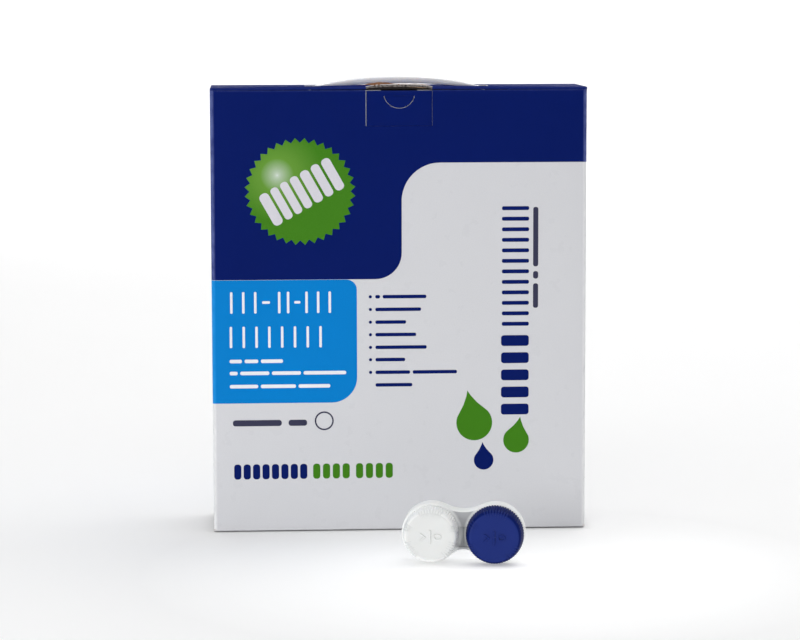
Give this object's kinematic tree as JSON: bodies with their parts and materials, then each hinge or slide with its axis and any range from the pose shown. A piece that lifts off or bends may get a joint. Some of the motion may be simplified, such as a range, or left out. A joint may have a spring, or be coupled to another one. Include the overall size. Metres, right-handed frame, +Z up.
{
  "type": "contact lens solution multipack",
  "caption": "Printed board carton with a carry strap and an opening tab, holding screw-cap bottles of contact lens solution and a leaflet, with a screw-top lens case standing in front.",
  "frame": {"origin": "middle of the carton base, on the surface that it stands on", "axes": "+Z up, the printed front faces -Y, +X to the right seen from the front"},
  "size_m": [0.22, 0.1727, 0.2676],
  "materials": {
    "printed_board": "satin",
    "inner_board": "matte",
    "strap_plastic": "satin",
    "bottle_plastic": "satin",
    "solution": "gloss",
    "cap_plastic": "satin",
    "liner_foam": "matte",
    "label_film": "satin",
    "case_white": "satin",
    "case_blue": "satin",
    "leaflet_paper": "matte"
  },
  "bodies": {
    "carton": {"front_panel": "printed_board", "back_panel": "printed_board", "side_panel_left": "printed_board", "side_panel_right": "printed_board", "glue_flap": "inner_board", "bottom_flap_outer": "inner_board", "bottom_flap_inner": "inner_board", "bottom_dust_left": "inner_board", "bottom_dust_right": "inner_board"},
    "lid": {"lid_panel": "printed_board"},
    "tuck_flap": {"tuck_flap": "inner_board"},
    "dust_flap_left": {"lid_dust_left": "inner_board"},
    "dust_flap_right": {"lid_dust_right": "inner_board"},
    "press_tab": {"press_tab": "printed_board"},
    "thumb_tongue": {"thumb_tongue": "printed_board"},
    "carry_strap": {"carry_strap": "strap_plastic"},
    "leaflet": {"leaflet": "leaflet_paper"},
    "lens_case": {"lens_case_base": "case_white"},
    "lens_cap_left": {"lens_case_cap_left": "case_white"},
    "lens_cap_right": {"lens_case_cap_right": "case_blue"},
    "bottle_1": {"bottle_1": "bottle_plastic", "solution_1": "solution", "dropper_1": "bottle_plastic", "tamper_ring_1": "cap_plastic", "label_front_1": "label_film", "label_back_1": "label_film"},
    "cap_liner_1": {"cap_liner_1": "liner_foam"},
    "screw_cap_1": {"screw_cap_1": "cap_plastic"},
    "bottle_2": {"bottle_2": "bottle_plastic", "solution_2": "solution", "dropper_2": "bottle_plastic", "tamper_ring_2": "cap_plastic", "label_front_2": "label_film", "label_back_2": "label_film"},
    "cap_liner_2": {"cap_liner_2": "liner_foam"},
    "screw_cap_2": {"screw_cap_2": "cap_plastic"},
    "bottle_3": {"bottle_3": "bottle_plastic", "solution_3": "solution", "dropper_3": "bottle_plastic", "tamper_ring_3": "cap_plastic", "label_front_3": "label_film", "label_back_3": "label_film"},
    "cap_liner_3": {"cap_liner_3": "liner_foam"},
    "screw_cap_3": {"screw_cap_3": "cap_plastic"}
  },
  "joints": [
    {"name": "lid_hinge", "type": "hinge", "parent": "carton", "child": "lid", "pos_m": [0, 0.03, 0.2595], "axis": [-1, 0, 0], "range_deg": [0, 105]},
    {"name": "tuck_fold", "type": "hinge", "parent": "lid", "child": "tuck_flap", "pos_m": [0, -0.0262, 0.2594], "axis": [1, 0, 0], "range_deg": [0, 84.1]},
    {"name": "dust_left_fold", "type": "hinge", "parent": "carton", "child": "dust_flap_left", "pos_m": [-0.11, 0, 0.2592], "axis": [0, -1, 0], "range_deg": [0, 58]},
    {"name": "dust_right_fold", "type": "hinge", "parent": "carton", "child": "dust_flap_right", "pos_m": [0.11, 0, 0.2592], "axis": [0, 1, 0], "range_deg": [0, 58]},
    {"name": "press_tab_fold", "type": "hinge", "parent": "carton", "child": "press_tab", "pos_m": [0, -0.03, 0.2386], "axis": [1, 0, 0], "range_deg": [0, 120]},
    {"name": "tongue_push", "type": "hinge", "parent": "press_tab", "child": "thumb_tongue", "pos_m": [0, -0.0285, 0.2566], "axis": [1, 0, 0], "range_deg": [0, 35]},
    {"name": "strap_lift", "type": "slide", "parent": "lid", "child": "carry_strap", "axis": [0, 0, 1], "range_m": [0, 0.0098]},
    {"name": "leaflet_lift", "type": "slide", "parent": "carton", "child": "leaflet", "axis": [0, 0, 1], "range_m": [0, 0.09]},
    {"name": "lens_case_lift", "type": "slide", "parent": "carton", "child": "lens_case", "axis": [0, 0, 1], "range_m": [0, 0.03]},
    {"name": "lens_cap_left_pull", "type": "slide", "parent": "lens_case", "child": "lens_cap_left", "axis": [-0.1392, -0.9903, 0], "range_m": [0, 0.012]},
    {"name": "lens_cap_right_pull", "type": "slide", "parent": "lens_case", "child": "lens_cap_right", "axis": [-0.1392, -0.9903, 0], "range_m": [0, 0.012]},
    {"name": "bottle_1_lift", "type": "slide", "parent": "carton", "child": "bottle_1", "axis": [0, 0, 1], "range_m": [0, 0.008]},
    {"name": "cap_1_rise", "type": "slide", "parent": "bottle_1", "child": "cap_liner_1", "axis": [0, 0, 1], "range_m": [0, 0.00301]},
    {"name": "cap_1_turn", "type": "hinge", "parent": "cap_liner_1", "child": "screw_cap_1", "pos_m": [-0.0716, -0.0006, 0.23], "axis": [0, 0, 1], "range_deg": [0, 360]},
    {"name": "bottle_2_lift", "type": "slide", "parent": "carton", "child": "bottle_2", "axis": [0, 0, 1], "range_m": [0, 0.008]},
    {"name": "cap_2_rise", "type": "slide", "parent": "bottle_2", "child": "cap_liner_2", "axis": [0, 0, 1], "range_m": [0, 0.00301]},
    {"name": "cap_2_turn", "type": "hinge", "parent": "cap_liner_2", "child": "screw_cap_2", "pos_m": [0, -0.0006, 0.23], "axis": [0, 0, 1], "range_deg": [0, 360]},
    {"name": "bottle_3_lift", "type": "slide", "parent": "carton", "child": "bottle_3", "axis": [0, 0, 1], "range_m": [0, 0.008]},
    {"name": "cap_3_rise", "type": "slide", "parent": "bottle_3", "child": "cap_liner_3", "axis": [0, 0, 1], "range_m": [0, 0.00301]},
    {"name": "cap_3_turn", "type": "hinge", "parent": "cap_liner_3", "child": "screw_cap_3", "pos_m": [0.0716, -0.0006, 0.23], "axis": [0, 0, 1], "range_deg": [0, 360]}
  ],
  "couplings": [
    {"joint": "tuck_fold", "follows": "lid_hinge", "ratio": 0.8},
    {"joint": "dust_left_fold", "follows": "lid_hinge", "ratio": 0.55},
    {"joint": "dust_right_fold", "follows": "lid_hinge", "ratio": 0.55},
    {"joint": "cap_1_rise", "follows": "cap_1_turn", "m_per_rad": 0.00047746},
    {"joint": "cap_2_rise", "follows": "cap_2_turn", "m_per_rad": 0.00047746},
    {"joint": "cap_3_rise", "follows": "cap_3_turn", "m_per_rad": 0.00047746}
  ]
}
